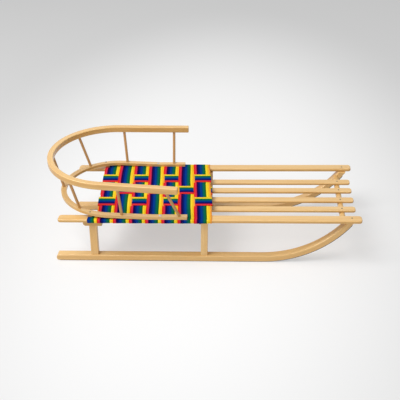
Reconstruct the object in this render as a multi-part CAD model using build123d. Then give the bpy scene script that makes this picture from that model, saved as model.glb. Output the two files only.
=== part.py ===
from build123d import *
import math
import os

# A child's wooden sled with a bent-wood backrest and a webbing seat, in millimetres.
# X runs forwards, Y to the left and Z up from the floor. Everything is laid out from the
# middle of the side rails, and moved at the end so that the origin is the bottom centre.

# Side rails
rail_length = 900.0
rail_spacing = 318.0  # between the two rails' centre lines
rail_width = 31.0
rail_thickness = 10.0
rail_top_z = 157.0
rail_end_radius = 9.0  # rounded corners, seen from above
rail_edge_radius = 3.0

# Runners and their steel soles
runner_width = 26.0
runner_height = 20.7  # wood and sole together
runner_spacing = 297.6
runner_rear_x = -472.5
runner_bend_x = 160.4  # where the bend starts
runner_bend_radius = 330.0  # at the face that meets the floor
runner_end_radius = 7.0
runner_edge_radius = 2.5
sole_width = 20.0
sole_thickness = 2.2
sole_rear_x = -463.5
sole_end_angle = 53.0  # degrees round the bend

# Legs
leg_depth = 19.0  # across the sled
leg_rake = 5.0  # each foot is this far behind its top
rear_leg_x = -348.0  # at the top
rear_leg_width = 22.9
middle_leg_x = -10.7
middle_leg_width = 20.3
leg_edge_radius = 2.0
tenon_shoulder = 4.5  # a leg's tenon is this much narrower on each side
tenon_depth = 12.0

# Blocks between the rear legs and the rails
end_block_rear_x = {"left": -359.5, "right": -375.0}
end_block_length = 56.0
end_block_outer_y = 165.0
end_block_inner_y = 141.0
end_block_bottom_z = 129.5
end_block_bevel = 6.0

# Deck slats
slat_width = 26.4
slat_thickness = 7.0
slat_centres = (-83.4, -28.8, 28.8, 83.4)
slat_front_x = 440.0
slat_rear_x = -25.5
slat_top_z = 144.5
slat_end_radius = 8.0
slat_edge_radius = 2.0

# Crossbars
front_bar_x = 400.0
front_bar_radius = 8.5
front_bar_flat = 0.5  # planed off under each slat
middle_crossbar_x = -22.5
middle_crossbar_size = 11.0  # square, let into the legs' inner rear corners
rear_crossbar_x = -333.0
rear_crossbar_width = 17.0
rear_crossbar_height = 15.0
bar_tenon_length = 8.0
bar_tenon_shoulder = 2.0
bar_edge_radius = 2.0

# Webbing: one ribbon wound round both rails, and three bands laced lengthwise through its
# upper runs, folded under at the first and last turn
webbing_thickness = 1.6
cross_turns = 7
cross_pitch = 48.6
cross_gap = 0.2  # between neighbouring turns
first_turn_right_x = -330.7  # rear edge of the rearmost turn over the right rail
first_turn_left_x = -358.5  # the same edge over the left rail: the ribbon runs askew
end_turn_rear_x = -358.5
end_turn_width = 27.0
long_band_width = 50.0
long_band_centres = (-70.6, 0.0, 70.6)
fold_length = 40.0  # of each lengthwise band's ends, under the cross turns
layer_gap = 0.2  # between the crosswise and the lengthwise webbing
fold_gap = 1.2  # between a cross turn's edge and the fold round it

# Backrest bottom bow: a lath, level on the rails in front, rising towards the rear
low_bow_width = 16.6
low_bow_thickness = 8.5
low_bow_radius = 165.0  # of its centre line
low_bow_centre_x = -296.0
low_bow_left_end_x = -93.0
low_bow_right_end_x = -60.5
low_bow_rise_x = -175.0
low_bow_slope = 0.0485
low_bow_edge_radius = 2.0

# Backrest top bow: arms that open towards the front, and a round back
top_bow_width = 18.5
top_bow_height = 19.0
top_bow_radius = 190.75
top_bow_centre_x = -297.25
top_bow_flare = 3.3  # degrees, each arm
top_bow_front_x = -80.0
top_bow_mid_z = 271.2  # height of its centre line at the middle of the rails
top_bow_tilt = 2.26  # degrees, rear upwards
top_bow_edge_radius = 3.0
top_bow_end_radius = 2.5

# Spindles: where each stands, as a run along the centre line of each bow from its rearmost
# point, positive on the left side
spindle_radius = 4.3
spindle_runs = {
    "spindle_left_front": (425.0, 469.0),
    "spindle_left_middle": (269.0, 304.0),
    "spindle_left_rear": (143.0, 150.0),
    "spindle_back": (-16.0, 2.0),
    "spindle_right_rear": (-164.0, -192.0),
    "spindle_right_middle": (-300.0, -343.0),
    "spindle_right_front": (-471.0, -484.0),
}
low_socket_depth = 5.0
top_socket_depth = 9.0

# Packing wedges between the webbing on the rails and the rear of the bottom bow
packing_x = -352.0
packing_length = 12.0
packing_width = 9.0

# Worked out from the sizes above
rail_underside_z = rail_top_z - rail_thickness
rail_y = rail_spacing / 2
runner_y = runner_spacing / 2
runner_inner_y = runner_y - runner_width / 2
slat_underside_z = slat_top_z - slat_thickness
leg_top_z = rail_underside_z - webbing_thickness
leg_inner_y = runner_y - leg_depth / 2
cross_width = cross_pitch - cross_gap
webbing_top_z = rail_top_z + webbing_thickness
sides = {"left": 1, "right": -1}

nodes = {}


def block(x_span, y_span, z_span):
    """A box between the given ends along X, Y and Z."""
    size = [b - a for a, b in (x_span, y_span, z_span)]
    middle = [(a + b) / 2 for a, b in (x_span, y_span, z_span)]
    return Pos(*middle) * Box(*size)


def about(centre, width):
    """The two ends of a span of this width."""
    return (centre - width / 2, centre + width / 2)


def on_side(shape, side):
    """A shape made for the left side, put on the named side."""
    if side == "left":
        return shape
    return mirror(shape, Plane.XZ)


def eased_lath(length, width, thickness, corner_radius, edge_radius):
    """A lath centred on the origin, with round corners in plan and eased long edges."""
    lath = extrude(RectangleRounded(length, width, corner_radius), thickness / 2, both=True)
    rims = lath.edges().group_by(Axis.Z)
    return fillet(rims[0] + rims[-1], edge_radius)


# Side rails
def side_rail(side):
    rail = eased_lath(rail_length, rail_width, rail_thickness, rail_end_radius, rail_edge_radius)
    return Pos(0, sides[side] * rail_y, rail_top_z - rail_thickness / 2) * rail


# Runners
def runner_path():
    """The middle of the wood, straight and then round the bend, to above the rail's underside."""
    middle_z = (sole_thickness + runner_height) / 2
    radius = runner_bend_radius - middle_z
    angle = math.degrees(math.acos((runner_bend_radius - rail_top_z) / radius))
    flat = Line((runner_rear_x, middle_z), (runner_bend_x, middle_z))
    bend = CenterArc((runner_bend_x, runner_bend_radius), radius, -90, angle)
    return Plane.XZ * Wire([flat.edge(), bend.edge()])


def rear_corner(corner_z, inwards):
    """What is taken off the rear end's lower or upper corner to round it."""
    centre = (runner_rear_x + runner_end_radius, corner_z + inwards * runner_end_radius)
    square = Pos(runner_rear_x, corner_z) * Rectangle(2 * runner_end_radius, 2 * runner_end_radius)
    return extrude(Plane.XZ * (square - Pos(*centre) * Circle(runner_end_radius)), runner_width, both=True)


def leg_tenon(leg_x, leg_width):
    """A leg's lower tenon, in the runner's mortise, about the runner's own middle plane."""
    return block(
        about(leg_x - leg_rake, leg_width - 2 * tenon_shoulder),
        about(0, leg_depth - 2 * tenon_shoulder),
        (runner_height - tenon_depth, runner_height),
    )


def runner(side):
    path = runner_path()
    start = Plane(origin=path @ 0, x_dir=(0, 0, 1), z_dir=path % 0)
    section = RectangleRounded(runner_height - sole_thickness, runner_width, runner_edge_radius)
    wood = sweep(start * section, path=path)
    wood = split(wood, Plane.XY.offset(rail_underside_z), keep=Keep.BOTTOM)
    wood -= rear_corner(sole_thickness, 1) + rear_corner(runner_height, -1)
    wood -= leg_tenon(rear_leg_x, rear_leg_width)
    wood -= leg_tenon(middle_leg_x, middle_leg_width)
    return Pos(0, sides[side] * runner_y, 0) * wood


def runner_sole(side):
    bend_centre = (runner_bend_x, runner_bend_radius)
    inner = runner_bend_radius - sole_thickness
    end_direction = (math.sin(math.radians(sole_end_angle)), -math.cos(math.radians(sole_end_angle)))
    ends = [
        (bend_centre[0] + r * end_direction[0], bend_centre[1] + r * end_direction[1])
        for r in (runner_bend_radius, inner)
    ]
    outline = [
        Line((sole_rear_x, 0), (runner_bend_x, 0)),
        CenterArc(bend_centre, runner_bend_radius, -90, sole_end_angle),
        Line(*ends),
        CenterArc(bend_centre, inner, -90, sole_end_angle),
        Line((runner_bend_x, sole_thickness), (sole_rear_x, sole_thickness)),
        Line((sole_rear_x, sole_thickness), (sole_rear_x, 0)),
    ]
    strip = extrude(Plane.XZ * make_face(outline), sole_width / 2, both=True)
    return Pos(0, sides[side] * runner_y, 0) * strip


# Legs and the rear end blocks
def leg(leg_x, leg_width, top_z, side):
    top = [(x, top_z) for x in about(leg_x, leg_width)]
    foot = [(x - leg_rake, runner_height) for x in about(leg_x, leg_width)]
    post = extrude(Plane.XZ * make_face(Polyline(*top, *foot[::-1], close=True)), leg_depth / 2, both=True)
    upright = [edge for edge in post.edges() if abs(edge.tangent_at(0).Z) > 0.9]
    post = fillet(upright, leg_edge_radius)
    return Pos(0, sides[side] * runner_y, 0) * (post + leg_tenon(leg_x, leg_width))


def end_block(side):
    rear_x = end_block_rear_x[side]
    wood = block(
        (rear_x, rear_x + end_block_length),
        (end_block_inner_y, end_block_outer_y),
        (end_block_bottom_z, leg_top_z),
    )
    rear_low = wood.edges().filter_by(Axis.Y).sort_by(Axis.X)[:2].sort_by(Axis.Z)[0]
    wood = chamfer(rear_low, end_block_bevel)
    wood = fillet(wood.edges().filter_by(Axis.X), leg_edge_radius)
    return on_side(wood - rear_crossbar(), side)


# Crossbars
def middle_crossbar():
    reach = leg_inner_y + bar_tenon_length
    bar = block(
        about(middle_crossbar_x, middle_crossbar_size),
        (-reach, reach),
        (slat_underside_z - middle_crossbar_size, slat_underside_z),
    )
    return fillet(bar.edges().filter_by(Axis.Y), bar_edge_radius)


def rear_crossbar():
    """A flat bar between the end blocks, with a thinner tenon in each."""
    low_z = leg_top_z - rear_crossbar_height
    bar = block(
        about(rear_crossbar_x, rear_crossbar_width),
        (-end_block_inner_y, end_block_inner_y),
        (low_z, leg_top_z),
    )
    bar = fillet(bar.edges().filter_by(Axis.Y), bar_edge_radius)
    reach = end_block_inner_y + bar_tenon_length
    return bar + block(
        about(rear_crossbar_x, rear_crossbar_width - 2 * bar_tenon_shoulder),
        (-reach, reach),
        (low_z + bar_tenon_shoulder, leg_top_z - bar_tenon_shoulder),
    )


front_bar_z = slat_underside_z + front_bar_flat - front_bar_radius


def front_crossbar():
    bar = Pos(front_bar_x, 0, front_bar_z) * Rot(90, 0, 0) * Cylinder(front_bar_radius, 2 * runner_inner_y)
    for centre_y in slat_centres:
        bar -= deck_slat(centre_y)
    return bar


# Deck slats
def deck_slat(centre_y):
    lath = eased_lath(
        slat_front_x - slat_rear_x, slat_width, slat_thickness, slat_end_radius, slat_edge_radius
    )
    return Pos((slat_front_x + slat_rear_x) / 2, centre_y, slat_top_z - slat_thickness / 2) * lath


# Webbing
def ribbon_wrap(rear_x, width, side):
    """The ribbon round the outer half of a rail: over, down the outer face, and under."""
    outer = RectangleRounded(
        rail_width + 2 * webbing_thickness,
        rail_thickness + 2 * webbing_thickness,
        rail_edge_radius + webbing_thickness,
    )
    inner = RectangleRounded(rail_width, rail_thickness, rail_edge_radius)
    outboard = Pos(rail_width / 2, 0) * Rectangle(rail_width, 2 * rail_thickness)
    ring = (outer - inner) & outboard
    wrap = extrude(Plane.YZ * ring, width)
    return on_side(Pos(rear_x, rail_y, rail_top_z - rail_thickness / 2) * wrap, side)


def ribbon_run(right_x, left_x, width, low_z):
    """A flat run of ribbon from one rail's middle to the other's, askew."""
    corners = [
        (right_x, -rail_y),
        (right_x + width, -rail_y),
        (left_x + width, rail_y),
        (left_x, rail_y),
    ]
    return Pos(0, 0, low_z) * extrude(make_face(Polyline(*corners, close=True)), webbing_thickness)


def cross_turn(number):
    """One turn of the ribbon: over the rails, round the left one, and back underneath. The
    rearmost one ends under the left rail."""
    right_x = first_turn_right_x + number * cross_pitch
    left_x = first_turn_left_x + number * cross_pitch
    turn = ribbon_wrap(right_x, cross_width, "right")
    turn += ribbon_run(right_x, left_x, cross_width, rail_top_z)
    turn += ribbon_wrap(left_x, cross_width, "left")
    if number:
        low_z = rail_underside_z - webbing_thickness
        turn += ribbon_run(right_x - cross_pitch, left_x, cross_width, low_z)
    return turn


def ribbon_end_turn():
    """The ribbon's rear end, folded to half its width round the right rail."""
    return ribbon_wrap(end_turn_rear_x, end_turn_width, "right")


def long_band(centre_y):
    """A lengthwise band on the cross turns, its ends folded round the outermost edges."""
    skew = (first_turn_left_x - first_turn_right_x) / rail_spacing
    start_y = centre_y - long_band_width / 2
    rear_x = first_turn_right_x + skew * (start_y + rail_y) - fold_gap
    length = (cross_turns - 1) * cross_pitch + cross_width + 2 * fold_gap
    height = webbing_thickness + 2 * layer_gap
    outer = RectangleRounded(
        length + 2 * webbing_thickness,
        height + 2 * webbing_thickness,
        0.499 * height + webbing_thickness,
    )
    ring = outer - RectangleRounded(length, height, 0.499 * height)
    ring -= Pos(0, -height) * Rectangle(length - 2 * fold_length, 2 * height - 2 * layer_gap)
    place = Pos(rear_x + length / 2, start_y, rail_top_z + webbing_thickness / 2)
    reach = long_band_width * math.hypot(1, skew)
    return extrude(place * (Plane.XZ * ring), reach, dir=(skew, 1, 0))


# Backrest bottom bow
low_bow_arc_run = low_bow_radius * math.pi / 2


def low_bow_underside(x):
    """Height of the bottom bow's underside: level in front, then rising to the rear."""
    return webbing_top_z + low_bow_slope * max(0.0, low_bow_rise_x - x)


def low_bow_point(run):
    """The point of the bottom bow's centre line, in plan, at this run from its rearmost point."""
    side = math.copysign(1, run)
    beyond = abs(run) - low_bow_arc_run
    if beyond > 0:
        return low_bow_centre_x + beyond, side * low_bow_radius
    angle = run / low_bow_radius
    return low_bow_centre_x - low_bow_radius * math.cos(angle), low_bow_radius * math.sin(angle)


def low_bow_plan():
    """The bow seen from above: a half ring and two straight arms."""
    half = low_bow_width / 2
    ring = Circle(low_bow_radius + half) - Circle(low_bow_radius - half)
    ring &= Pos(-low_bow_radius, 0) * Rectangle(2 * low_bow_radius, 4 * low_bow_radius)
    plan = Pos(low_bow_centre_x, 0) * ring
    for end_x, side in ((low_bow_left_end_x, 1), (low_bow_right_end_x, -1)):
        length = end_x - low_bow_centre_x
        middle_x = (end_x + low_bow_centre_x) / 2
        plan += Pos(middle_x, side * low_bow_radius) * Rectangle(length, low_bow_width)
    return plan


def backrest_bottom_bow():
    rear_x = low_bow_centre_x - 2 * low_bow_radius
    under = [
        (0, low_bow_underside(0)),
        (low_bow_rise_x, low_bow_underside(low_bow_rise_x)),
        (rear_x, low_bow_underside(rear_x)),
    ]
    over = [(x, z + low_bow_thickness) for x, z in reversed(under)]
    side_view = make_face(Polyline(*under, *over, close=True))
    lath = extrude(Plane.XZ * side_view, 2 * low_bow_radius, both=True)
    bow = extrude(low_bow_plan(), top_bow_mid_z) & lath
    bow = fillet(bow.edges().filter_by(Axis.Z), low_bow_edge_radius)
    return bow


# Backrest top bow
def top_bow_point(run):
    """The point of the top bow's centre line, in its own flat plane, at this run."""
    side = math.copysign(1, run)
    flare = math.radians(top_bow_flare)
    arc_run = top_bow_radius * (math.pi / 2 - flare)
    angle = min(abs(run), arc_run) / top_bow_radius
    beyond = max(0.0, abs(run) - arc_run)
    x = top_bow_centre_x - top_bow_radius * math.cos(angle) + beyond * math.cos(flare)
    y = top_bow_radius * math.sin(angle) + beyond * math.sin(flare)
    return x, side * y


def top_bow_place():
    return Pos(0, 0, top_bow_mid_z) * Rot(0, top_bow_tilt, 0)


def backrest_top_bow():
    flare = math.radians(top_bow_flare)
    arc_run = top_bow_radius * (math.pi / 2 - flare)
    bend_x, bend_y = top_bow_point(arc_run)
    arm = (top_bow_front_x - bend_x) / math.cos(flare)
    end_x, end_y = top_bow_point(arc_run + arm)
    path = Wire([
        Line((end_x, end_y), (bend_x, bend_y)).edge(),
        ThreePointArc((bend_x, bend_y), top_bow_point(0), (bend_x, -bend_y)).edge(),
        Line((bend_x, -bend_y), (end_x, -end_y)).edge(),
    ])
    start = Plane(origin=path @ 0, x_dir=(0, 0, 1), z_dir=path % 0)
    section = start * RectangleRounded(top_bow_height, top_bow_width, top_bow_edge_radius)
    bow = sweep(section, path=path)
    ends = bow.faces().filter_by(GeomType.PLANE).sort_by(Axis.X)[-2:]
    bow = fillet(ends.edges(), top_bow_end_radius)
    return top_bow_place() * bow


# Spindles and packing
def spindle(runs):
    """A round stick from the bottom bow's upper face to the top bow's underside."""
    low_run, top_run = runs
    foot_x, foot_y = low_bow_point(low_run)
    foot = Vector(foot_x, foot_y, low_bow_underside(foot_x) + low_bow_thickness)
    top_x, top_y = top_bow_point(top_run)
    head = (top_bow_place() * Pos(top_x, top_y, -top_bow_height / 2)).position
    direction = (head - foot).normalized()
    start = foot - direction * low_socket_depth
    length = (head - foot).length + low_socket_depth + top_socket_depth
    return extrude(Plane(origin=start, z_dir=direction) * Circle(spindle_radius), length)


def packing_wedge(side):
    rear_x, front_x = about(packing_x, packing_length)
    distance = low_bow_centre_x - packing_x
    centre_y = math.sqrt(low_bow_radius**2 - distance**2)
    wedge = make_face(Polyline(
        (rear_x, webbing_top_z),
        (front_x, webbing_top_z),
        (front_x, low_bow_underside(front_x)),
        (rear_x, low_bow_underside(rear_x)),
        close=True,
    ))
    blank = extrude(Plane.XZ * wedge, packing_width / 2, both=True)
    return on_side(Pos(0, centre_y, 0) * blank, side)


def make_nodes():
    for side in sides:
        nodes[f"side_rail_{side}"] = side_rail(side)
        nodes[f"runner_{side}"] = runner(side)
        nodes[f"runner_sole_{side}"] = runner_sole(side)
        nodes[f"leg_rear_{side}"] = leg(rear_leg_x, rear_leg_width, end_block_bottom_z, side)
        nodes[f"leg_middle_{side}"] = leg(middle_leg_x, middle_leg_width, leg_top_z, side) - middle_crossbar()
        nodes[f"end_block_{side}"] = end_block(side)
        nodes[f"packing_wedge_{side}"] = packing_wedge(side)
    for number, centre_y in enumerate(slat_centres, 1):
        nodes[f"deck_slat_{number}"] = deck_slat(centre_y)
    nodes["front_crossbar"] = front_crossbar()
    nodes["middle_crossbar"] = middle_crossbar()
    nodes["rear_crossbar"] = rear_crossbar()
    for number in range(cross_turns):
        nodes[f"cross_band_{number + 1}"] = cross_turn(number)
    nodes["ribbon_end_turn"] = ribbon_end_turn()
    for number, centre_y in enumerate(long_band_centres, 1):
        nodes[f"long_band_{number}"] = long_band(centre_y)
    low_bow = backrest_bottom_bow()
    top_bow = backrest_top_bow()
    for name, runs in spindle_runs.items():
        stick = spindle(runs)
        nodes[name] = stick
        low_bow -= stick
        top_bow -= stick
    nodes["backrest_bottom_bow"] = low_bow
    nodes["backrest_top_bow"] = top_bow


def write_nodes():
    box = Compound(children=[Compound(n.solids()) for n in nodes.values()]).bounding_box()
    shift = Pos(-box.center().X, -box.center().Y, -box.min.Z)
    print(f"overall {box.size.X:.1f} x {box.size.Y:.1f} x {box.size.Z:.1f}, moved by X {-box.center().X:.2f}")
    os.makedirs("parts", exist_ok=True)
    for name, shape in nodes.items():
        solids = shape.solids()
        if len(solids) != 1:
            print(f"{name} has {len(solids)} solids")
        export_step(shift * solids[0], f"parts/{name}.step")


make_nodes()
write_nodes()
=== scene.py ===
import math

import bmesh
import bpy
from mathutils import Matrix, Vector


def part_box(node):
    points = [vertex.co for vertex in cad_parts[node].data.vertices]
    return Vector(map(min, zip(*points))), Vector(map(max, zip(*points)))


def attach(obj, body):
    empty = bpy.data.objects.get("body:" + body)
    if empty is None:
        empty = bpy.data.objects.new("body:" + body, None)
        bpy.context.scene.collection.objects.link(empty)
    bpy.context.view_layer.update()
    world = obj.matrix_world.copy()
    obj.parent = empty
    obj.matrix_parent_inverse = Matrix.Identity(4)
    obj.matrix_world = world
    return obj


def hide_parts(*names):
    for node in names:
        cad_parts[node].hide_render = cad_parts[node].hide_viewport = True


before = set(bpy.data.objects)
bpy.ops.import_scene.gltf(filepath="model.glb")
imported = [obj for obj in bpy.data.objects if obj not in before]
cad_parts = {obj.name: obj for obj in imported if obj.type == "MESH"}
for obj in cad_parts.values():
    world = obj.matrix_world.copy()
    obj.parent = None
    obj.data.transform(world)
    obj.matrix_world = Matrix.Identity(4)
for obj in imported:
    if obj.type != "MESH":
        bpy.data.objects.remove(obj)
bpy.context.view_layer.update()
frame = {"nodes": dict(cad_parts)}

scene = bpy.context.scene
nodes = frame["nodes"]
mm = 0.001
print("frame loaded:", len(nodes), "pieces")

# Places that the rest is laid out from, all read off the frame
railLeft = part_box("side_rail_left")
railMidX = (railLeft[0].x + railLeft[1].x) / 2
railY = (railLeft[0].y + railLeft[1].y) / 2
railHalfWidth = (railLeft[1].y - railLeft[0].y) / 2
railTop = railLeft[1].z
railUnder = railLeft[0].z


# A place along the sled, in millimetres forwards of the middle of the rails
def along(x):
    return railMidX + x * mm


cameraSettings = {
    "place": (137.9, -2014.2, 1323.8),  # mm from the floor under the middle of the rails
    "yaw": -4.9,  # in degrees, as are the next two
    "pitch": -30.7,
    "roll": -2.35,
    "lens": 66.91,
    "sensorWidth": 36.0,
    "clipEnd": 50.0,
}

lightSettings = {
    "floorSize": 60.0,
    "floorColour": (0.80, 0.80, 0.80),
    "floorGlow": 0.44,  # white that the floor gives to the camera and to reflections
    "floorShare": 0.50,  # how much of its lit colour, with the shadow, is added to that
    "floorCentre": (0.0, 0.30, 0.0),  # the brightest place, in metres, in the stretched plan
    "floorStretch": (1.6, 0.8, 0.0),  # it fades faster to the sides than to the front and back
    "floorReach": (0.45, 1.75),  # it falls off between these distances from there
    "floorFall": 0.27,  # by this share
    "worldSeen": (0.95, 0.95, 0.95),
    "worldStrength": 0.42,
    "keyEnergy": 156,
    "keySize": 2.6,
    "keyPlace": (-1.9, -1.2, 3.8),
    "fillEnergy": 12,
    "fillSize": 2.0,
    "fillPlace": (0.4, -2.8, 1.6),
    "aim": (0.0, 0.0, 0.1),
}


def makeCamera():
    s = cameraSettings
    yaw, pitch, roll = (math.radians(s[k]) for k in ("yaw", "pitch", "roll"))
    forward = Vector((math.sin(yaw) * math.cos(pitch), math.cos(yaw) * math.cos(pitch), math.sin(pitch)))
    level = Vector((math.cos(yaw), -math.sin(yaw), 0))
    upright = level.cross(forward)
    right = math.cos(roll) * level + math.sin(roll) * upright
    up = -math.sin(roll) * level + math.cos(roll) * upright
    data = bpy.data.cameras.new("camera")
    data.lens = s["lens"]
    data.sensor_width = s["sensorWidth"]
    data.clip_end = s["clipEnd"]
    camera = bpy.data.objects.new("camera", data)
    turn = Matrix((right, up, -forward)).transposed().to_4x4()
    place = Vector((along(s["place"][0]), s["place"][1] * mm, s["place"][2] * mm))
    camera.matrix_world = Matrix.Translation(place) @ turn
    scene.collection.objects.link(camera)
    scene.camera = camera


def newMaterial(name):
    material = bpy.data.materials.new(name)
    material.use_nodes = True
    tree = material.node_tree
    tree.nodes.clear()
    return material, tree


# A node with its properties and, by socket name or number, its input values
def addNode(tree, kind, **settings):
    node = tree.nodes.new(kind)
    inputs = settings.pop("inputs", {})
    for key, value in settings.items():
        setattr(node, key, value)
    for key, value in inputs.items():
        if isinstance(value, bpy.types.NodeSocket):
            tree.links.new(value, node.inputs[key])
        else:
            node.inputs[key].default_value = value
    return node


# Ends a tree with the shader that it gives
def finishTree(tree, shader, kind="ShaderNodeOutputMaterial"):
    output = addNode(tree, kind)
    tree.links.new(shader.outputs[0], output.inputs[0])


# A colour with its fourth value, fully opaque
def opaque(colour):
    return (*colour[:3], 1)


# One step of arithmetic, and its result
def sums(tree, operation, a, b=0.0):
    return addNode(tree, "ShaderNodeMath", operation=operation, inputs={0: a, 1: b}).outputs[0]


# A number brought from one range to another, and held inside it
def ranged(tree, value, low, high, lowest=0.0, highest=1.0):
    inputs = {0: value, 1: low, 2: high, 3: lowest, 4: highest}
    return addNode(tree, "ShaderNodeMapRange", inputs=inputs).outputs[0]


# Three numbers as one place
def joined(tree, x, y, z):
    return addNode(tree, "ShaderNodeCombineXYZ", inputs={0: x, 1: y, 2: z}).outputs[0]


# One number as a grey
def greyOf(tree, value):
    return addNode(tree, "ShaderNodeCombineColor", inputs={0: value, 1: value, 2: value}).outputs[0]


# Noise, with values that lie round 0.5
def noise(tree, place, scale, detail, roughness=0.5):
    inputs = {"Vector": place, "Scale": scale, "Detail": detail, "Roughness": roughness}
    return addNode(tree, "ShaderNodeTexNoise", inputs=inputs).outputs[0]


# A bump from a height, and the bent normal
def bumped(tree, height, strength, distance):
    inputs = {"Strength": strength, "Distance": distance, "Height": height}
    return addNode(tree, "ShaderNodeBump", inputs=inputs).outputs[0]


# One mix of two colours, and its result
def blendColour(tree, factor, a, b, how="MIX"):
    node = addNode(tree, "ShaderNodeMix", data_type="RGBA", blend_type=how, clamp_factor=True)
    for key, value in ((0, factor), (6, a), (7, b)):
        if isinstance(value, bpy.types.NodeSocket):
            tree.links.new(value, node.inputs[key])
        else:
            node.inputs[key].default_value = value if key == 0 else opaque(value)
    return node.outputs[2]


# 1 for camera, glossy and transmission rays, else 0
def seenRays(tree):
    path = addNode(tree, "ShaderNodeLightPath")
    seen = sums(tree, "MAXIMUM", path.outputs["Is Camera Ray"], path.outputs["Is Glossy Ray"])
    return sums(tree, "MAXIMUM", seen, path.outputs["Is Transmission Ray"])


# One shader for what is seen, another for the light that falls on other things
def splitByRay(tree, lighting, seen):
    inputs = {0: seenRays(tree), 1: lighting.outputs[0], 2: seen.outputs[0]}
    return addNode(tree, "ShaderNodeMixShader", inputs=inputs)


def makeFloor():
    s = lightSettings
    bpy.ops.mesh.primitive_plane_add(size=s["floorSize"])
    floor = bpy.context.object
    floor.name = "floor"
    material, tree = newMaterial("pale floor")
    coords = addNode(tree, "ShaderNodeTexCoord")
    plan = addNode(tree, "ShaderNodeVectorMath", operation="MULTIPLY", inputs={
        0: coords.outputs["Object"],
        1: s["floorStretch"],
    })
    distance = addNode(tree, "ShaderNodeVectorMath", operation="DISTANCE", inputs={
        0: plan.outputs[0],
        1: s["floorCentre"],
    })
    near, far = s["floorReach"]
    fall = addNode(tree, "ShaderNodeMapRange", interpolation_type="SMOOTHSTEP", inputs={
        0: distance.outputs["Value"],
        1: near,
        2: far,
        3: 1.0,
        4: 1.0 - s["floorFall"],
    })
    share = greyOf(tree, sums(tree, "MULTIPLY", fall.outputs[0], s["floorShare"]))
    strength = sums(tree, "MULTIPLY", fall.outputs[0], s["floorGlow"])
    lit = addNode(tree, "ShaderNodeBsdfDiffuse", inputs={"Color": opaque(s["floorColour"])})
    soft = addNode(tree, "ShaderNodeBsdfDiffuse", inputs={"Color": share})
    glow = addNode(tree, "ShaderNodeEmission", inputs={0: (1, 1, 1, 1), 1: strength})
    pale = addNode(tree, "ShaderNodeAddShader", inputs={0: soft.outputs[0], 1: glow.outputs[0]})
    finishTree(tree, splitByRay(tree, lit, pale))
    floor.data.materials.append(material)


def makeLight():
    s = lightSettings
    world = bpy.data.worlds.new("studio")
    scene.world = world
    world.use_nodes = True
    tree = world.node_tree
    tree.nodes.clear()
    light = addNode(tree, "ShaderNodeBackground", inputs={0: (1, 1, 1, 1), 1: s["worldStrength"]})
    white = addNode(tree, "ShaderNodeBackground", inputs={0: opaque(s["worldSeen"]), 1: 1.0})
    finishTree(tree, splitByRay(tree, light, white), "ShaderNodeOutputWorld")
    for name in ("key", "fill"):
        data = bpy.data.lights.new(name + " lamp", "AREA")
        data.shape = "SQUARE"
        data.size = s[name + "Size"]
        data.energy = s[name + "Energy"]
        lamp = bpy.data.objects.new(name + " lamp", data)
        place = Vector(s[name + "Place"])
        lamp.location = place
        lamp.rotation_euler = (Vector(s["aim"]) - place).to_track_quat("-Z", "Y").to_euler()
        scene.collection.objects.link(lamp)


scene.view_settings.view_transform = "Standard"
makeCamera()
makeFloor()
makeLight()
print("camera, floor and light set")


woodSettings = {
    "pale": (0.82, 0.545, 0.225),
    "warm": (0.71, 0.405, 0.125),
    "dark": (0.44, 0.205, 0.050),
    "pore": (0.34, 0.150, 0.040),
    "side": (0.69, 0.58, 0.34),  # painted shade on a piece's sides at its darkest, against its top face
    "paintedShadeFrom": (0.75, 0.15),  # how much a face looks up where the painted shade begins and is full
    "endGrain": (0.36, 0.18, 0.055),
    "endFrom": (0.75, 0.97),  # how much a face looks along the grain, likewise
    "endShare": 0.7,
    "roughness": 0.38,
    "streakRoughness": 0.12,
    "coat": 0.45,
    "coatRoughness": 0.22,
    "streakDepth": -0.5,
    "fleckDepth": -1.0,
    "bump": 0.25,
    "bumpDistance": 0.00012,
    "drift": 0.012,  # how far the grain wanders sideways, in metres
    "driftScale": 9.0,
    "driftAlong": 1.6,
    "shiftAcross": 0.37,
    "nodeShift": 0.731,  # each piece's grain starts this much further along
    "toneSwing": 0.06,
    "toneTurn": 2.4,
}

# The grain's layers: repeats per metre along and across the wood, start, detail and roughness of
# the noise, the part of its range that shows, the colour, and how strongly it is laid on
grainSettings = {
    "figure": {
        "per": (2.2, 85), "start": 0.3, "noise": (3, 0.55),
        "shown": (0.38, 0.66), "in": "warm", "share": 0.75,
    },
    "streak": {
        "per": (9, 520), "start": 1.7, "noise": (2, 0.5),
        "shown": (0.42, 0.75), "in": "dark", "share": 0.28,
    },
    "patch": {
        "per": (1.3, 6), "start": 2.9, "noise": (1, 0.5),
        "shown": (0.3, 0.7), "in": "warm", "share": 0.22,
    },
    "fleck": {
        "per": (150, 1500), "start": 4.1, "noise": (1, 0.5),
        "shown": (0.66, 0.76), "in": "pore", "share": 0.40,
    },
}

# The bent pieces: the plane of the bend, its centre and radius, and the way that the bend lies
# from its centre
bendSettings = {
    "backrest_top_bow": {"plane": "xy", "centre": (-297.25, 0.0), "radius": 190.75, "way": -1},
    "backrest_bottom_bow": {"plane": "xy", "centre": (-296.0, 0.0), "radius": 165.0, "way": -1},
    "runner_left": {"plane": "xz", "centre": (160.4, 330.0), "radius": 320.0, "way": 1},
    "runner_right": {"plane": "xz", "centre": (160.4, 330.0), "radius": 320.0, "way": 1},
}
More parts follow.
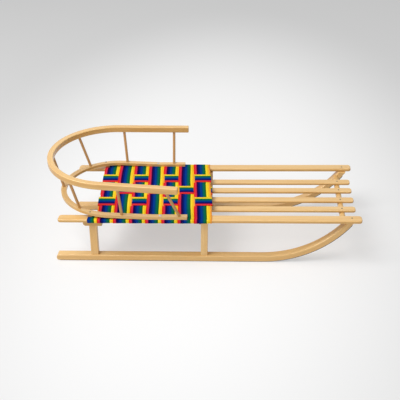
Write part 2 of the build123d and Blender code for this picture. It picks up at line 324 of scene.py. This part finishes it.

# By a word of the piece's name: the way of its grain, how far its sides get painted shade, and how
# far it is darkened all over
cutSettings = {
    "backrest": {"axis": "x", "paintedShadeDepth": 0.5, "darkened": 0.0},
    "runner": {"axis": "x", "paintedShadeDepth": 0.35, "darkened": 0.0},
    "leg": {"axis": "z", "paintedShadeDepth": 0.15, "darkened": 0.0},
    "spindle": {"axis": "z", "paintedShadeDepth": 0.5, "darkened": 0.75},
    "crossbar": {"axis": "y", "paintedShadeDepth": 0.5, "darkened": 0.0},
    "deck_slat": {"axis": "x", "paintedShadeDepth": 0.95, "darkened": 0.0},
    "side_rail": {"axis": "x", "paintedShadeDepth": 0.7, "darkened": 0.0},
    "end_block": {"axis": "x", "paintedShadeDepth": 0.7, "darkened": 0.0},
    "packing_wedge": {"axis": "x", "paintedShadeDepth": 0.7, "darkened": 0.0},
}


# Grain coordinates of a straight lath: its length, its width and its thickness
def straightGrain(tree, place, axis):
    split = addNode(tree, "ShaderNodeSeparateXYZ", inputs={0: place})
    order = {"x": (0, 1, 2), "y": (1, 0, 2), "z": (2, 0, 1)}[axis]
    return [split.outputs[i] for i in order]


# Grain coordinates that follow a bend: straight short of its centre, and round it beyond
def bentGrain(tree, place, bend):
    x, y, z = addNode(tree, "ShaderNodeSeparateXYZ", inputs={0: place}).outputs
    side, depth = (y, z) if bend["plane"] == "xy" else (z, y)
    centreX, centreSide = along(bend["centre"][0]), bend["centre"][1] * mm
    beyond = sums(tree, "MULTIPLY", sums(tree, "SUBTRACT", x, centreX), bend["way"])
    lateral = sums(tree, "SUBTRACT", side, centreSide)
    beyondSquared = sums(tree, "POWER", beyond, 2.0)
    lateralSquared = sums(tree, "POWER", lateral, 2.0)
    distance = sums(tree, "SQRT", sums(tree, "ADD", beyondSquared, lateralSquared))
    isBent = sums(tree, "GREATER_THAN", beyond, 0.0)
    isStraight = sums(tree, "SUBTRACT", 1.0, isBent)
    offset = sums(tree, "ABSOLUTE", lateral)
    roundBend = sums(tree, "MULTIPLY", isBent, distance)
    across = sums(tree, "ADD", roundBend, sums(tree, "MULTIPLY", isStraight, offset))
    angle = sums(tree, "ARCTAN2", sums(tree, "MAXIMUM", beyond, 0.0), offset)
    arc = sums(tree, "MULTIPLY", angle, bend["radius"] * mm)
    length = sums(tree, "ADD", arc, sums(tree, "MINIMUM", beyond, 0.0))
    return [length, across, depth]


# Clear-varnished pale wood: long wavy figure, fine streaks, short dark flecks, end grain, and painted shade
# on the sides
def woodMaterial(name, cut, bend, shift, tone):
    s = woodSettings
    material, tree = newMaterial(name)
    coords = addNode(tree, "ShaderNodeTexCoord")
    place = coords.outputs["Object"]
    if bend:
        length, across, depth = bentGrain(tree, place, bend)
    else:
        length, across, depth = straightGrain(tree, place, cut["axis"])
    slow = joined(tree, sums(tree, "MULTIPLY", length, s["driftAlong"]), across, depth)
    drift = sums(tree, "SUBTRACT", noise(tree, slow, s["driftScale"], detail=2.0), 0.5)
    swing = sums(tree, "MULTIPLY", drift, s["drift"])

    colour = s["pale"]
    grain = {}
    for layer, g in grainSettings.items():
        a = sums(tree, "MULTIPLY", sums(tree, "ADD", length, g["start"] + shift), g["per"][0])
        b = sums(tree, "MULTIPLY", sums(tree, "ADD", across, swing), g["per"][1])
        c = sums(tree, "MULTIPLY", sums(tree, "ADD", depth, shift * s["shiftAcross"]), g["per"][1])
        grain[layer] = ranged(tree, noise(tree, joined(tree, a, b, c), 1.0, *g["noise"]), *g["shown"])
        share = g["share"] + (tone if layer == "patch" else 0.0)
        colour = blendColour(tree, sums(tree, "MULTIPLY", grain[layer], share), colour, s[g["in"]])
    facing = addNode(tree, "ShaderNodeSeparateXYZ", inputs={0: coords.outputs["Normal"]})
    # Painted shade: faces that look less upwards are darkened towards the side colour
    paintedSideShade = sums(tree, "MULTIPLY", ranged(tree, facing.outputs[2], *s["paintedShadeFrom"]), cut["paintedShadeDepth"])
    colour = blendColour(tree, paintedSideShade, colour, s["side"], how="MULTIPLY")
    if cut["darkened"]:
        colour = blendColour(tree, cut["darkened"], colour, s["dark"])
    if not bend:
        lengthwise = sums(tree, "ABSOLUTE", facing.outputs["xyz".index(cut["axis"])])
        onEnd = ranged(tree, lengthwise, *s["endFrom"])
        colour = blendColour(tree, sums(tree, "MULTIPLY", onEnd, s["endShare"]), colour, s["endGrain"])
    streakDepth = sums(tree, "MULTIPLY", grain["streak"], s["streakDepth"])
    fleckDepth = sums(tree, "MULTIPLY", grain["fleck"], s["fleckDepth"])
    height = sums(tree, "ADD", streakDepth, fleckDepth)
    rough = sums(tree, "ADD", sums(tree, "MULTIPLY", grain["streak"], s["streakRoughness"]), s["roughness"])
    finishTree(tree, addNode(tree, "ShaderNodeBsdfPrincipled", inputs={
        "Base Color": colour,
        "Roughness": rough,
        "Coat Weight": s["coat"],
        "Coat Roughness": s["coatRoughness"],
        "Normal": bumped(tree, height, s["bump"], s["bumpDistance"]),
    }))
    return material


# Puts a material on a CAD node
def paint(node, material):
    mesh = nodes[node].data
    mesh.materials.clear()
    mesh.materials.append(material)


# The soles are steel, and the webbing is made further on
def isWooden(name):
    return not (name.startswith("runner_sole") or "band" in name or name.startswith("ribbon"))


def finishWood():
    s = woodSettings
    for count, name in enumerate(nodes, start=1):
        if isWooden(name):
            cut = next(cut for word, cut in cutSettings.items() if word in name)
            bend = bendSettings.get(name)
            tone = 0.0 if bend else s["toneSwing"] * math.sin(count * s["toneTurn"])
            paint(name, woodMaterial(name, cut, bend, count * s["nodeShift"], tone))


finishWood()
print("wood varnished")


steelSettings = {
    "sole": {"colour": (0.13, 0.115, 0.09), "dull": (0.07, 0.06, 0.045), "roughness": 0.45},
    "screw": {"colour": (0.20, 0.16, 0.11), "dull": (0.10, 0.08, 0.06), "roughness": 0.40},
    "bolt": {"colour": (0.50, 0.50, 0.50), "dull": (0.36, 0.36, 0.36), "roughness": 0.35},
    "metallic": 0.9,
    "scratches": (40, 900, 900),  # per metre along and across
    "scratchRoughness": 0.25,
    "evenRoughness": -0.12,  # where it isn't scratched
    "stainScale": 35.0,
    "stainShown": (0.4, 0.7),
    "bump": 0.2,
    "bumpDistance": 0.0001,
}


# Plain steel, lightly scratched lengthwise and stained in patches
def steelMaterial(name, kind):
    s, own = steelSettings, steelSettings[kind]
    material, tree = newMaterial(name)
    place = addNode(tree, "ShaderNodeTexCoord").outputs["Object"]
    stretch = addNode(tree, "ShaderNodeMapping", inputs={0: place, 3: s["scratches"]})
    scratch = noise(tree, stretch.outputs[0], 1.0, detail=2.0)
    stain = ranged(tree, noise(tree, place, s["stainScale"], detail=3.0), *s["stainShown"])
    scratched = sums(tree, "MULTIPLY", scratch, s["scratchRoughness"])
    finishTree(tree, addNode(tree, "ShaderNodeBsdfPrincipled", inputs={
        "Base Color": blendColour(tree, stain, own["colour"], own["dull"]),
        "Metallic": s["metallic"],
        "Roughness": sums(tree, "ADD", scratched, own["roughness"] + s["evenRoughness"]),
        "Normal": bumped(tree, scratch, s["bump"], s["bumpDistance"]),
    }))
    return material


for side in ("left", "right"):
    paint("runner_sole_" + side, steelMaterial("sole steel " + side, "sole"))
print("steel finished")


webbingSettings = {
    "width": 53.0,
    "thickness": 1.1,
    "tilt": 0.5,  # each turn's red edge lies this much above its middle, over the turn behind
    "turns": 7,
    "firstRight": -329.2,  # rear edge of the first turn over the right rail, mm from mid rail
    "pitchRight": 48.1,
    "firstLeft": -359.4,
    "pitchLeft": 49.2,
    "rowCentres": (67.5, -7.5, -77.0),
    "rowWidth": 48.0,
    "rowShown": 0.87,  # of the stripes, the last ones being turned under
    "rowFront": (0.8, 2.6, 0.8),  # how far each row's folded ends stand past the turns
    "rowRear": (0.8, 1.5, 3.6),
    "rowPass": (0.30, 0.40),  # where a row starts to cross, in turns from a turn's middle, and for how long
    "crown": 5.6,  # how far the woven middle stands above the rails
    "crownEdge": 10.0,  # it starts this far outside the rails' middles
    "crownRise": 55.0,
    "weave": 0.85,  # half the step between an upper and a lower band
    "weaveHold": 21.0,  # a turn is pressed down or lifted this far each side of a row's middle
    "weaveFade": 14.0,
    "sway": 0.5,
    "swayLength": 24.0,
    "swayTurn": 1.7,
    "railBend": 3.0,  # the radius that it follows round the rails' edges
    "railFacets": 5,  # round each of those edges
    "tackedEnd": 30.0,  # the last run under the seat is this long
    "fold": 38.0,
    "foldRadius": 1.05,  # of the thickness, so that a folded end comes out below the turn that it holds
    "foldFacets": 9,
    "foldStep": 4.0,
    "step": 3.0,
    "edgeBulge": 0.8,  # of half the thickness
    "columns": 12,
}

ribbonEndSettings = {
    "rear": -358.3,
    "foldAt": 0.34,  # the stripes up to here are folded under the rest
    "lastShown": 0.90,  # those past here are taken up by a hem that isn't modelled
    "foldBulge": 0.6,  # of the thickness
    "foldRaised": 0.1,
    "columns": 8,
    "under": 30.0,  # lengths under and over the rail, past its rounding
    "over": 28.0,
    "underStep": 6.0,
    "step": 4.0,
    "tail": (10.0, 85.0),  # the tail's ends, inwards from the right rail's middle
    "tailRear": 3.2,  # how far it shows behind the first turn
    "tailBelow": 0.9,
}

weaveSettings = {
    "wobbleScale": 60.0,
    "wobble": 0.008,  # how far the stripes' edges wander, in widths of the ribbon
    "warpRibs": 44,
    "weftPitch": 1.5,
    "weftShare": 1.3,
    "selvedge": (0.47, 0.49),  # from the middle, in widths
    "selvedgeHeight": 1.5,
    "shade": (0.84, 1.16),  # painted shade between the ribs and painted highlight on them
    "ribHeight": 4.0,  # where the shade is full
    "roughness": 0.9,
    "shine": 0.03,
    "bump": 0.45,
    "bumpDistance": 0.0003,
    "mixing": 0.006,  # half the width in which two stripes' threads mix
}

# Each stripe: where it starts across the ribbon, and its colour
stripes = (
    (0.00, (0.80, 0.028, 0.008)),
    (0.07, (0.72, 0.030, 0.075)),
    (0.16, (0.110, 0.002, 0.070)),
    (0.20, (0.008, 0.0005, 0.050)),
    (0.27, (0.001, 0.012, 0.170)),
    (0.37, (0.001, 0.044, 0.280)),
    (0.48, (0.001, 0.075, 0.150)),
    (0.54, (0.002, 0.130, 0.105)),
    (0.60, (0.003, 0.145, 0.045)),
    (0.67, (0.014, 0.110, 0.010)),
    (0.72, (0.96, 0.76, 0.035)),
    (0.81, (0.99, 0.58, 0.020)),
    (0.905, (0.96, 0.38, 0.060)),
)


# The stripes across the ribbon, with a narrow band between each two where their threads mix
def stripeRamp(tree, place):
    ramp = addNode(tree, "ShaderNodeValToRGB", inputs={0: place})
    stops = ramp.color_ramp.elements
    while len(stops) > 1:
        stops.remove(stops[-1])
    mixing = weaveSettings["mixing"]
    ends = [start for start, colour in stripes[1:]] + [1.0 + mixing]
    for (start, colour), end in zip(stripes, ends):
        if start == 0:
            stops[0].position = 0
            stops[0].color = opaque(colour)
        else:
            stops.new(start + mixing).color = opaque(colour)
        stops.new(min(1.0, end - mixing)).color = opaque(colour)
    return ramp.outputs[0]


# Ribbed webbing: colour stripes along the ribbon, cross ribs, and a thicker selvedge
def webbingMaterial(name):
    s = weaveSettings
    material, tree = newMaterial(name)
    uv = addNode(tree, "ShaderNodeUVMap", uv_map="ribbon")
    split = addNode(tree, "ShaderNodeSeparateXYZ", inputs={0: uv.outputs[0]})
    across, length = split.outputs[0], split.outputs[1]
    wobble = addNode(tree, "ShaderNodeTexNoise", noise_dimensions="1D", inputs={
        "W": length,
        "Scale": s["wobbleScale"],
        "Detail": 2.0,
    })
    wander = sums(tree, "MULTIPLY", sums(tree, "SUBTRACT", wobble.outputs[0], 0.5), s["wobble"])
    striped = stripeRamp(tree, sums(tree, "ADD", across, wander))
    warp = sums(tree, "SINE", sums(tree, "MULTIPLY", across, 2 * math.pi * s["warpRibs"]))
    weft = sums(tree, "SINE", sums(tree, "MULTIPLY", length, 2 * math.pi / (s["weftPitch"] * mm)))
    ribs = sums(tree, "MULTIPLY", sums(tree, "ADD", warp, 1.0), sums(tree, "ADD", weft, s["weftShare"]))
    fromMiddle = sums(tree, "ABSOLUTE", sums(tree, "SUBTRACT", across, 0.5))
    selvedge = ranged(tree, fromMiddle, *s["selvedge"], 0.0, s["selvedgeHeight"])
    # Painted shade between the ribs and painted highlight on them, laid on the stripes' colour
    shade = greyOf(tree, ranged(tree, ribs, 0.0, s["ribHeight"], *s["shade"]))
    finishTree(tree, addNode(tree, "ShaderNodeBsdfPrincipled", inputs={
        "Base Color": blendColour(tree, 1.0, striped, shade, how="MULTIPLY"),
        "Roughness": s["roughness"],
        "Specular IOR Level": s["shine"],
        "Normal": bumped(tree, sums(tree, "ADD", ribs, selvedge), s["bump"], s["bumpDistance"]),
    }))
    return material


# A ribbon's middle line across: place, height and stripe place, from its red edge
def flatSection(width, tilt=0.0, shown=1.0):
    columns = webbingSettings["columns"]
    shares = [i / columns for i in range(columns + 1)]
    return [((share - 0.5) * width, (0.5 - share) * 2 * tilt, share * shown) for share in shares]


# The same for the ribbon's narrow end, folded lengthwise with its red side tucked under the rest
def foldedSection(width, thickness):
    s = ribbonEndSettings
    foldAt, lastShown, columns = s["foldAt"], s["lastShown"], s["columns"]
    hidden, shown = foldAt * width, (lastShown - foldAt) * width
    bulge, raised = s["foldBulge"] * thickness, s["foldRaised"] * thickness
    shares = [i / columns for i in range(columns + 1)]
    under = [(-shown / 2 + hidden * (1 - share), -thickness, foldAt * share) for share in shares]
    bend = []
    for angle in (-60, -30, 0, 30, 60):
        a = math.radians(angle)
        bend.append((-shown / 2 - bulge * math.cos(a), -thickness / 2 + bulge * math.sin(a), foldAt))
    over = [(-shown / 2 + shown * share, raised, foldAt + (lastShown - foldAt) * share) for share in shares]
    return under + bend + over


# A closed outline round a section's middle line: (place, height, stripe place)
def thickened(section, thickness):
    half = thickness / 2
    upper, lower = [], []
    last = len(section) - 1
    for i, (x, z, u) in enumerate(section):
        ahead, behind = section[min(i + 1, last)], section[max(i - 1, 0)]
        run = Vector((ahead[0] - behind[0], ahead[1] - behind[1])).normalized()
        upper.append((x - run.y * half, z + run.x * half, u))
        lower.append((x + run.y * half, z - run.x * half, u))
    (x0, z0, u0), (x1, z1, u1) = section[0], section[-1]
    bulge = half * webbingSettings["edgeBulge"]
    d0 = Vector((x0 - section[1][0], z0 - section[1][1])).normalized() * bulge
    d1 = Vector((x1 - section[-2][0], z1 - section[-2][1])).normalized() * bulge
    return upper + [(x1 + d1.x, z1 + d1.y, u1)] + lower[::-1] + [(x0 + d0.x, z0 + d0.y, u0)]


# Adds one closed length of ribbon to store (vertices, faces, stripe places)
def addRibbon(store, points, outwards, sideways, section, thickness):
    vertices, faces, places = store
    first = len(vertices)
    outline = thickened(section, thickness)
    count = len(outline)
    runs = [0.0]
    for a, b in zip(points, points[1:]):
        runs.append(runs[-1] + (b - a).length)
    for p, n, w in zip(points, outwards, sideways):
        vertices += [p + w * x + n * z for x, z, u in outline]
    for i in range(len(points) - 1):
        a, b = first + i * count, first + (i + 1) * count
        for j in range(count):
            k = (j + 1) % count
            u, v = outline[j][2], outline[k][2]
            faces.append((a + j, a + k, b + k, b + j))
            places.append([(u, runs[i]), (v, runs[i]), (v, runs[i + 1]), (u, runs[i + 1])])
    half = len(section)
    for start, run in ((first, runs[0]), (first + (len(points) - 1) * count, runs[-1])):
        for j in range(half - 1):
            u, v = outline[j][2], outline[j + 1][2]
            faces.append((start + j, start + j + 1, start + 2 * half - 1 - j, start + 2 * half - j))
            places.append([(u, run), (v, run), (v, run), (u, run)])
        faces.append((start + half - 1, start + half, start + half + 1))
        places.append([(outline[half][2], run)] * 3)
        faces.append((start + 2 * half, start + 2 * half + 1, start))
        places.append([(outline[-1][2], run)] * 3)
    return runs[-1]


def makePiece(name, store, material):
    vertices, faces, places = store
    mesh = bpy.data.meshes.new(name)
    mesh.from_pydata([tuple(v) for v in vertices], [], faces)
    layer = mesh.uv_layers.new(name="ribbon")
    for loop, place in zip(layer.data, [place for face in places for place in face]):
        loop.uv = place
    work = bmesh.new()
    work.from_mesh(mesh)
    bmesh.ops.recalc_face_normals(work, faces=work.faces)
    work.to_mesh(mesh)
    work.free()
    mesh.shade_smooth()
    mesh.materials.append(material)
    piece = bpy.data.objects.new(name, mesh)
    scene.collection.objects.link(piece)
    return piece


def smoothStep(t):
    t = max(0.0, min(1.0, t))
    return t * t * (3 - 2 * t)


# Whether a lengthwise row lies over this turn: the outer rows over every other one from the first
def isOver(row, turn):
    return (turn + row) % 2 == 0


# A turn's rear edge over the seat at this y, in metres
def turnRear(turn, y):
    s = webbingSettings
    share = (y + railY) / (2 * railY)
    right = s["firstRight"] + turn * s["pitchRight"]
    left = s["firstLeft"] + turn * s["pitchLeft"]
    return along(right + (left - right) * share)


# The height of the weave above the rail tops
def crownAt(y):
    s = webbingSettings
    inwards = railY + s["crownEdge"] * mm - abs(y)
    return s["crown"] * mm * smoothStep(inwards / (s["crownRise"] * mm))


# The middle of the webbing's thickness where it lies on a rail
def layerHeight():
    s = webbingSettings
    return (s["thickness"] / 2 + s["tilt"]) * mm


# The middle of a cross turn's thickness over the seat
def crossHeight(turn, y):
    s = webbingSettings
    lift = 0.0
    for row, centre in enumerate(s["rowCentres"]):
        past = abs(y - centre * mm) - s["weaveHold"] * mm
        near = 1 - smoothStep(past / (s["weaveFade"] * mm))
        lift += near * (-s["weave"] if isOver(row, turn) else s["weave"]) * mm
    return railTop + layerHeight() + crownAt(y) + lift


# Points round a corner in a plane, from one angle to another in degrees
def cornerPoints(centre, radius, start, end, count):
    made = []
    for i in range(count + 1):
        a = math.radians(start + (end - start) * i / count)
        made.append((centre[0] + radius * math.cos(a), centre[1] + radius * math.sin(a)))
    return made


# Points round a rail's outer half in the y-z plane, from over it to under it or back
def overRail(side, topFirst):
    bend, facets = webbingSettings["railBend"] * mm, webbingSettings["railFacets"]
    outer = railY + railHalfWidth - bend
    reach = bend + layerHeight()
    upper = cornerPoints((outer, railTop - bend), reach, 90, 0, facets)
    lower = cornerPoints((outer, railUnder + bend), reach, 0, -90, facets)
    made = [(side * y, z) for y, z in upper + lower]
    return made if topFirst else made[::-1]


def spread(start, end, step):
    count = max(2, round(abs(end - start) / step))
    return [start + (end - start) * i / count for i in range(1, count)]


# For each point, the direction out of the ribbon's face, square to its path and width
def faceDirections(points, widthways):
    made = []
    last = len(points) - 1
    for i in range(len(points)):
        tangent = points[min(i + 1, last)] - points[max(i - 1, 0)]
        made.append(widthways[i].cross(tangent).normalized())
    return made


# The whole wound ribbon, from under the right rail at the front to under the left at the rear
def makeCrossRibbon(material):
    s = webbingSettings
    width = s["width"] * mm
    edge = railY + railHalfWidth - s["railBend"] * mm
    points = []
    for turn in range(s["turns"] - 1, -1, -1):
        for y, z in overRail(-1, False):
            points.append(Vector((turnRear(turn, -railY), y, z)))
        for y in spread(-edge, edge, s["step"] * mm):
            sway = s["sway"] * mm * math.sin(y / (s["swayLength"] * mm) + turn * s["swayTurn"])
            points.append(Vector((turnRear(turn, y) + sway, y, crossHeight(turn, y))))
        for y, z in overRail(1, True):
            points.append(Vector((turnRear(turn, railY), y, z)))
        far, near = turnRear(turn, railY), turnRear(turn - 1, -railY)
        for y in spread(edge, -edge, 2 * s["step"] * mm):
            if turn == 0 and y < edge - s["tackedEnd"] * mm:
                break
            share = (edge - y) / (2 * edge)
            points.append(Vector((far + (near - far) * share, y, railUnder - layerHeight())))
    points = [p + Vector((width / 2, 0, 0)) for p in points]
    widthways = [Vector((1, 0, 0))] * len(points)
    outwards = faceDirections(points, widthways)
    section = flatSection(width, s["tilt"] * mm)
    store = ([], [], [])
    length = addRibbon(store, points, outwards, widthways, section, s["thickness"] * mm)
    return makePiece("seat_ribbon", store, material), length


# The ribbon's other end: folded narrow round the right rail, its tail slipped under the first turn
def makeRibbonEnd(material):
    s, own = webbingSettings, ribbonEndSettings
    thick = s["thickness"] * mm
    width = s["width"] * mm
    middle = along(own["rear"]) + width * (own["lastShown"] - own["foldAt"]) / 2
    edge = railY + railHalfWidth - s["railBend"] * mm
    under, over = -edge + own["under"] * mm, -edge + own["over"] * mm
    run = [(y, railUnder - layerHeight()) for y in spread(under, -edge, own["underStep"] * mm)]
    run += overRail(-1, False)
    run += [(y, railTop + layerHeight()) for y in spread(-edge, over, own["step"] * mm)]
    points = [Vector((middle, y, z)) for y, z in run]
    widthways = [Vector((1, 0, 0))] * len(points)
    store = ([], [], [])
    section = foldedSection(width, thick)
    length = addRibbon(store, points, faceDirections(points, widthways), widthways, section, thick)
    tail = []
    outer, inner = (-railY + place * mm for place in own["tail"])
    for y in spread(outer, inner, own["step"] * mm):
        x = turnRear(0, y) - own["tailRear"] * mm + width / 2
        tail.append(Vector((x, y, crossHeight(0, y) - thick - own["tailBelow"] * mm)))
    widthways = [Vector((-1, 0, 0))] * len(tail)
    outwards = [-n for n in faceDirections(tail, widthways)]
    length += addRibbon(store, tail, outwards, widthways, flatSection(width), thick)
    return makePiece("seat_ribbon_end", store, material), length


# The middle of a lengthwise row's thickness
def rowHeight(row, x, y):
    s = webbingSettings
    pitch = turnRear(1, y) - turnRear(0, y)
    place = (x - turnRear(0, y)) / pitch - 0.5  # in turns, whole at a turn's middle
    turn = max(0, min(s["turns"] - 1, round(place)))
    here = s["weave"] if isOver(row, turn) else -s["weave"]
    off = place - turn
    beyond = turn + (1 if off > 0 else -1)
    passFrom, passLength = s["rowPass"]
    if abs(off) > passFrom and 0 <= beyond < s["turns"]:
        here *= 1 - 2 * smoothStep((abs(off) - passFrom) / passLength)
    return railTop + layerHeight() + crownAt(y) + here * mm


# Points of a row's folded end: round past the outermost turn's edge and back beneath
def foldEnd(x, z, radius, way, length):
    s = webbingSettings
    made = cornerPoints((x, z - radius), radius, 90, -90, s["foldFacets"])
    made += [(x - d, z - 2 * radius) for d in spread(0, length, s["foldStep"] * mm)]
    return [(x + way * (px - x), pz) for px, pz in made]


# A lengthwise band laced through the turns, its ends folded down and back past the outermost ones
def makeRow(row, material):
    s = webbingSettings
    centre = s["rowCentres"][row] * mm
    thick = s["thickness"] * mm
    skew = (turnRear(0, railY) - turnRear(0, -railY)) / (2 * railY)
    start = turnRear(0, centre) - s["rowRear"][row] * mm
    end = turnRear(s["turns"] - 1, centre) + (s["width"] + s["rowFront"][row]) * mm
    radius = thick * s["foldRadius"]
    profile = foldEnd(start, rowHeight(row, start, centre), radius, -1, s["fold"] * mm)[::-1]
    profile += [(x, rowHeight(row, x, centre)) for x in spread(start, end, s["step"] * mm)]
    profile += foldEnd(end, rowHeight(row, end, centre), radius, 1, s["fold"] * mm)
    points = [Vector((x, centre, z)) for x, z in profile]
    widthways = [Vector((skew, 1, 0))] * len(points)
    outwards = [-n for n in faceDirections(points, widthways)]
    section = flatSection(s["rowWidth"] * mm, shown=s["rowShown"])
    store = ([], [], [])
    length = addRibbon(store, points, outwards, widthways, section, thick)
    return makePiece("seat_row_" + str(row + 1), store, material), length


def declareWebbing(piece, length, stands, rests):
    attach(piece, "root")
    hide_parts(*stands)
    print(piece.name, "cut length", round(length, 3), "m")


def makeWebbing():
    material = webbingMaterial("striped webbing")
    turns = ["cross_band_" + str(i + 1) for i in range(webbingSettings["turns"])]
    declareWebbing(*makeCrossRibbon(material), turns, ["side_rail_left", "side_rail_right"])
    declareWebbing(*makeRibbonEnd(material), ["ribbon_end_turn"], ["side_rail_right"])
    rows = len(webbingSettings["rowCentres"])
    for row in range(rows):
        declareWebbing(*makeRow(row, material), ["long_band_" + str(rows - row)], ["seat_ribbon"])


makeWebbing()
print("webbing laced")


screwSettings = {
    "headRadius": 2.6,
    "headHeight": 0.9,
    "headFacets": (28, 14),  # round it, and from top to bottom
    "recessWidth": 0.8,
    "recessLength": 1.15,  # of the head's radius
    "spinSeed": 5,
    "railX": 421.0,  # the screws through the rails' front ends, mm from mid rail
    "railScrewY": 157.0,
    "slatX": (-17.0, 400.0),
    "slatY": (-82.0, -28.8, 28.8, 84.5),
    "bowScrews": ((-350.6, -158.5), (-357.6, 157.5)),
    "bowScrewSunk": 0.6,
    "bowRise": 0.0485,  # the bow climbs towards the rear
    "bowBolts": ((-140.2, -164.0), (-183.4, 165.0)),
    "boltRadius": 4.6,
    "boltHeight": 1.9,
    "boltRecess": 1.0,
    "bowSearch": 20.0,  # how far along the bow its top is looked for
}


# A node tree that puts a domed head with a cross recess on every point, facing its own way
def headTree():
    s = screwSettings
    tree = bpy.data.node_groups.new("screw heads", "GeometryNodeTree")
    face = tree.interface
    face.new_socket("Geometry", in_out="INPUT", socket_type="NodeSocketGeometry")
    for name in ("Head radius", "Head height", "Recess width"):
        face.new_socket(name, in_out="INPUT", socket_type="NodeSocketFloat")
    face.new_socket("Steel", in_out="INPUT", socket_type="NodeSocketMaterial")
    face.new_socket("Geometry", in_out="OUTPUT", socket_type="NodeSocketGeometry")
    given = addNode(tree, "NodeGroupInput").outputs
    radius, height, recess = given["Head radius"], given["Head height"], given["Recess width"]
    segments, rings = s["headFacets"]
    ball = addNode(tree, "GeometryNodeMeshUVSphere", inputs={
        "Segments": segments,
        "Rings": rings,
        "Radius": 1.0,
    })
    dome = addNode(tree, "GeometryNodeTransform", inputs={
        0: ball.outputs[0],
        "Scale": joined(tree, radius, radius, height),
    })
    recessLength = sums(tree, "MULTIPLY", radius, s["recessLength"])
    slots = addNode(tree, "GeometryNodeJoinGeometry")
    for a, b in ((recessLength, recess), (recess, recessLength)):
        slot = addNode(tree, "GeometryNodeMeshCube", inputs={"Size": joined(tree, a, b, height)})
        tree.links.new(slot.outputs[0], slots.inputs[0])
    cutter = addNode(tree, "GeometryNodeTransform", inputs={
        0: slots.outputs[0],
        "Translation": joined(tree, 0.0, 0.0, height),
    })
    head = addNode(tree, "GeometryNodeMeshBoolean", operation="DIFFERENCE", inputs={
        0: dome.outputs[0],
        1: cutter.outputs[0],
    })
    facing = addNode(tree, "GeometryNodeInputNamedAttribute", data_type="FLOAT_VECTOR", inputs={
        "Name": "facing",
    })
    spin = addNode(tree, "FunctionNodeRandomValue", data_type="FLOAT", inputs={
        2: 0.0,
        3: math.pi,
        "Seed": s["spinSeed"],
    })
    aimed = addNode(tree, "FunctionNodeAlignRotationToVector", axis="Z", inputs={
        "Rotation": joined(tree, 0.0, 0.0, spin.outputs[1]),
        "Vector": facing.outputs[0],
    })
    heads = addNode(tree, "GeometryNodeInstanceOnPoints", inputs={
        "Points": given["Geometry"],
        "Instance": head.outputs[0],
        "Rotation": aimed.outputs[0],
    })
    real = addNode(tree, "GeometryNodeRealizeInstances", inputs={0: heads.outputs[0]})
    steel = addNode(tree, "GeometryNodeSetMaterial", inputs={
        0: real.outputs[0],
        "Material": given["Steel"],
    })
    output = addNode(tree, "NodeGroupOutput")
    tree.links.new(steel.outputs[0], output.inputs[0])
    return tree


# One piece of screw or bolt heads, from pairs of a point and the way that its head faces
def makeHeads(name, tree, places, radius, height, recess, material):
    mesh = bpy.data.meshes.new(name)
    mesh.from_pydata([tuple(point) for point, way in places], [], [])
    facing = mesh.attributes.new("facing", "FLOAT_VECTOR", "POINT")
    for item, (point, way) in zip(facing.data, places):
        item.vector = way
    carrier = bpy.data.objects.new(name + "_points", mesh)
    scene.collection.objects.link(carrier)
    modifier = carrier.modifiers.new("heads", "NODES")
    modifier.node_group = tree
    keys = {item.name: item.identifier for item in tree.interface.items_tree if item.in_out == "INPUT"}
    modifier[keys["Head radius"]] = radius * mm
    modifier[keys["Head height"]] = height * mm
    modifier[keys["Recess width"]] = recess * mm
    modifier[keys["Steel"]] = material
    plain = bpy.data.meshes.new_from_object(carrier.evaluated_get(bpy.context.evaluated_depsgraph_get()))
    plain.name = name
    bpy.data.objects.remove(carrier)
    piece = bpy.data.objects.new(name, plain)
    scene.collection.objects.link(piece)
    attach(piece, "root")
    return piece


# The height of the bottom bow's upper face, from its own points near x
def bowTopAt(x):
    reach = screwSettings["bowSearch"] * mm
    points = nodes["backrest_bottom_bow"].data.vertices
    return max(point.co.z for point in points if abs(point.co.x - along(x)) < reach)


def makeFasteners():
    s = screwSettings
    tree = headTree()
    up = (0, 0, 1)
    rise = (s["bowRise"], 0, 1)
    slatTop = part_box("deck_slat_1")[1].z
    sunk = s["bowScrewSunk"] * mm
    frontX, screwY = along(s["railX"]), s["railScrewY"] * mm
    screws = [(Vector((frontX, side * screwY, railTop)), up) for side in (-1, 1)]
    screws += [(Vector((along(x), y * mm, slatTop)), up) for x in s["slatX"] for y in s["slatY"]]
    screws += [(Vector((along(x), y * mm, bowTopAt(x) - sunk)), rise) for x, y in s["bowScrews"]]
    bolts = [(Vector((along(x), y * mm, bowTopAt(x))), up) for x, y in s["bowBolts"]]
    screwSteel = steelMaterial("screw steel", "screw")
    boltSteel = steelMaterial("bolt steel", "bolt")
    makeHeads("deck_screws", tree, screws, s["headRadius"], s["headHeight"], s["recessWidth"], screwSteel)
    makeHeads("bow_bolts", tree, bolts, s["boltRadius"], s["boltHeight"], s["boltRecess"], boltSteel)


makeFasteners()
print("screws and bolts set")
